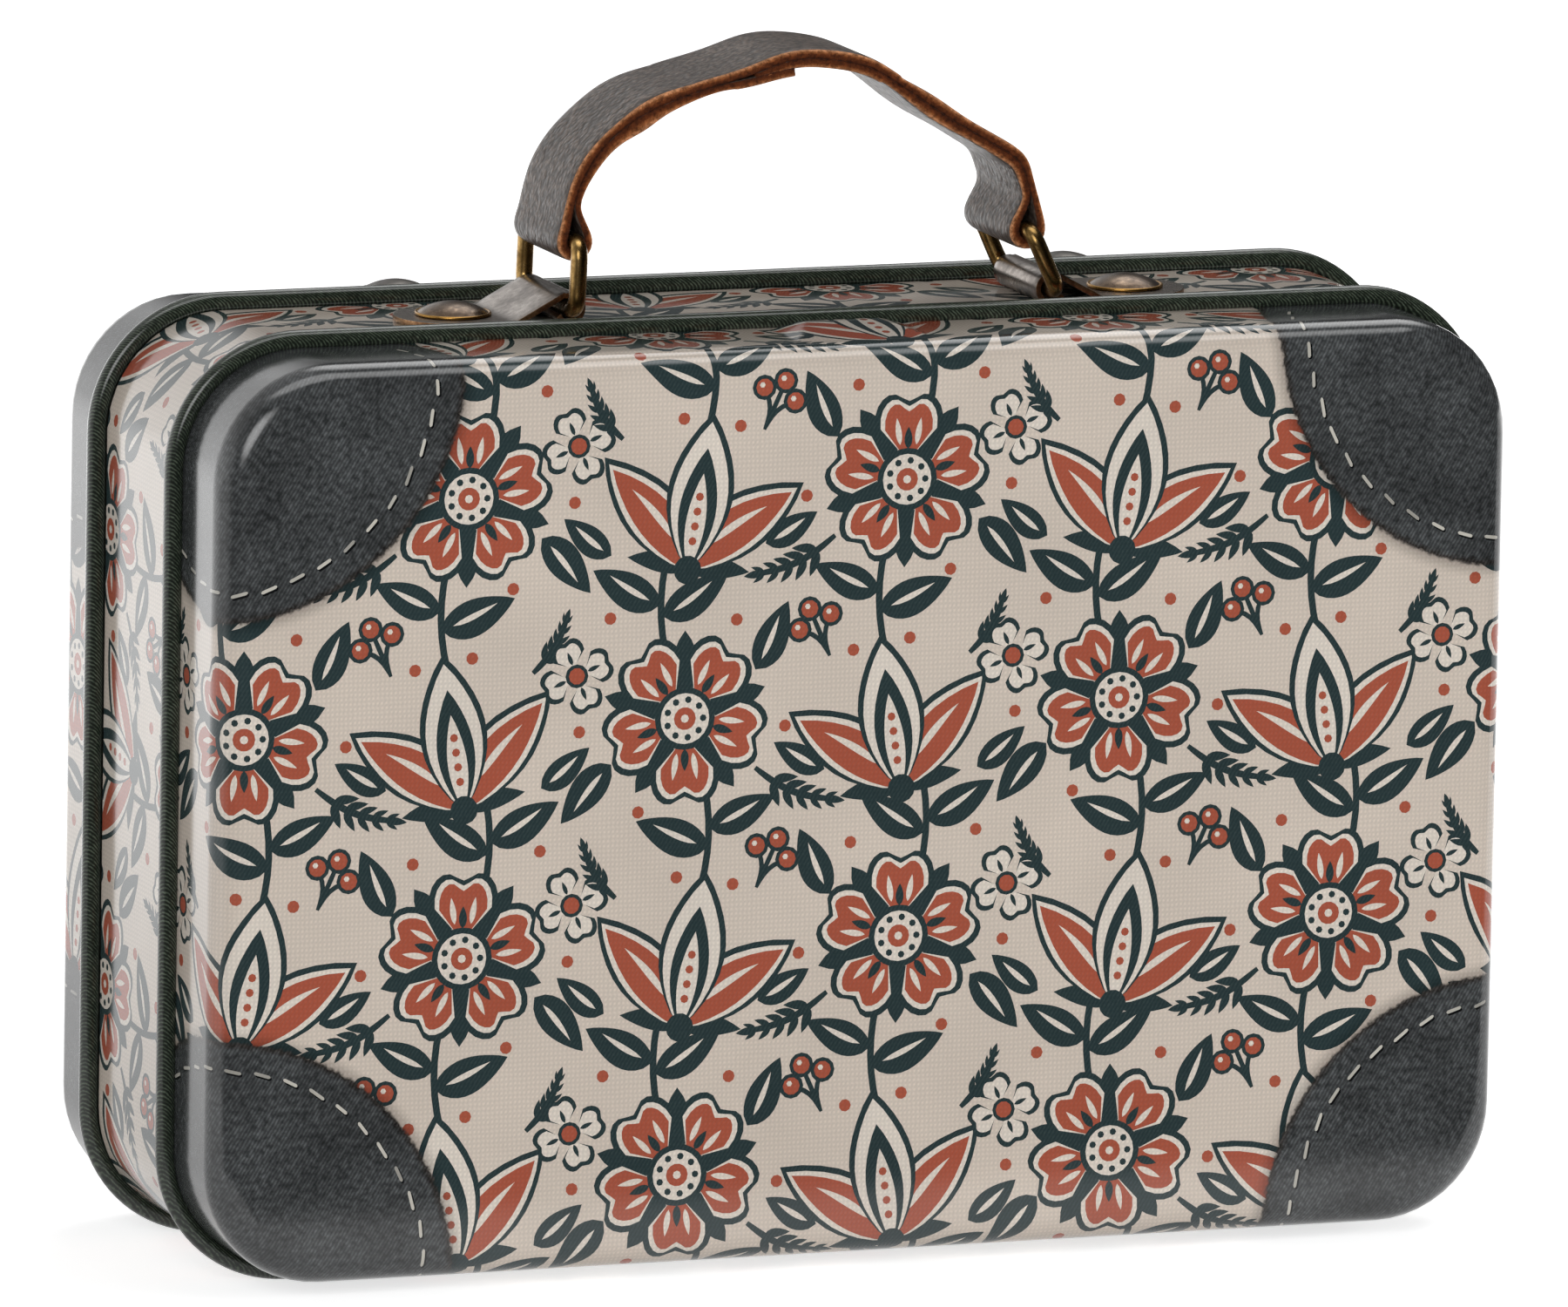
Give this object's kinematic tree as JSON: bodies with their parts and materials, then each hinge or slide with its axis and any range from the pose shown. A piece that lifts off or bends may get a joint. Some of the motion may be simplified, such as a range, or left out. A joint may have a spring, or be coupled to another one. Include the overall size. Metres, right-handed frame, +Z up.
{
  "type": "tin carrying case",
  "caption": "Flat tin carrying case with curled rims, a bottom-hinged front lid, printed walls and a leather handle on wire rings riveted to its top.",
  "frame": {"origin": "middle of the footprint, on the surface that the rim beads stand on", "axes": "+Z up, -Y out of the lid's face, +X to the right for someone facing the lid"},
  "size_m": [0.164, 0.058, 0.1416],
  "materials": {
    "printed_tin_lid": "printed tinplate, glossy varnish",
    "printed_tin_rear": "printed tinplate, glossy varnish",
    "printed_tin_band": "printed tinplate, glossy varnish",
    "steel_wire": "drawn wire",
    "pewter_sheet": "antiqued, satin",
    "brass_wire": "antiqued brass wire",
    "grey_leather": "pebbled grain, raw suede edges",
    "rivet_brass": "antiqued brass, domed",
    "rivet_steel": "plated"
  },
  "bodies": {
    "case": {"rear_cover": "printed_tin_rear", "body_band": "printed_tin_band", "hinge_pin": "steel_wire", "bracket_left": "pewter_sheet", "bracket_right": "pewter_sheet", "handle_rivet_caps": "rivet_brass", "handle_rivet_bases": "rivet_steel", "cover_rivet_caps": "rivet_brass", "cover_rivet_bases": "rivet_steel"},
    "lid": {"front_lid": "printed_tin_lid"},
    "left_ring": {"ring_left": "brass_wire"},
    "right_ring": {"ring_right": "brass_wire"},
    "strap": {"handle_strap": "grey_leather"}
  },
  "joints": [
    {"name": "lid_hinge", "type": "hinge", "parent": "case", "child": "lid", "pos_m": [0, -0.014, 0.00115], "axis": [1, 0, 0], "range_deg": [0, 180]},
    {"name": "left_ring_swing", "type": "hinge", "parent": "case", "child": "left_ring", "pos_m": [-0.03, 0, 0.1119], "axis": [0, 1, 0], "range_deg": [0, 23]},
    {"name": "right_ring_swing", "type": "hinge", "parent": "case", "child": "right_ring", "pos_m": [0.03, 0, 0.1119], "axis": [0, 1, 0], "range_deg": [0, 23]},
    {"name": "strap_swing", "type": "hinge", "parent": "left_ring", "child": "strap", "pos_m": [-0.02972, 0, 0.1199], "axis": [0, 1, 0], "range_deg": [-25, 0]}
  ],
  "couplings": [
    {"joint": "right_ring_swing", "follows": "left_ring_swing", "ratio": 1},
    {"joint": "strap_swing", "follows": "left_ring_swing", "ratio": -1.0659}
  ]
}
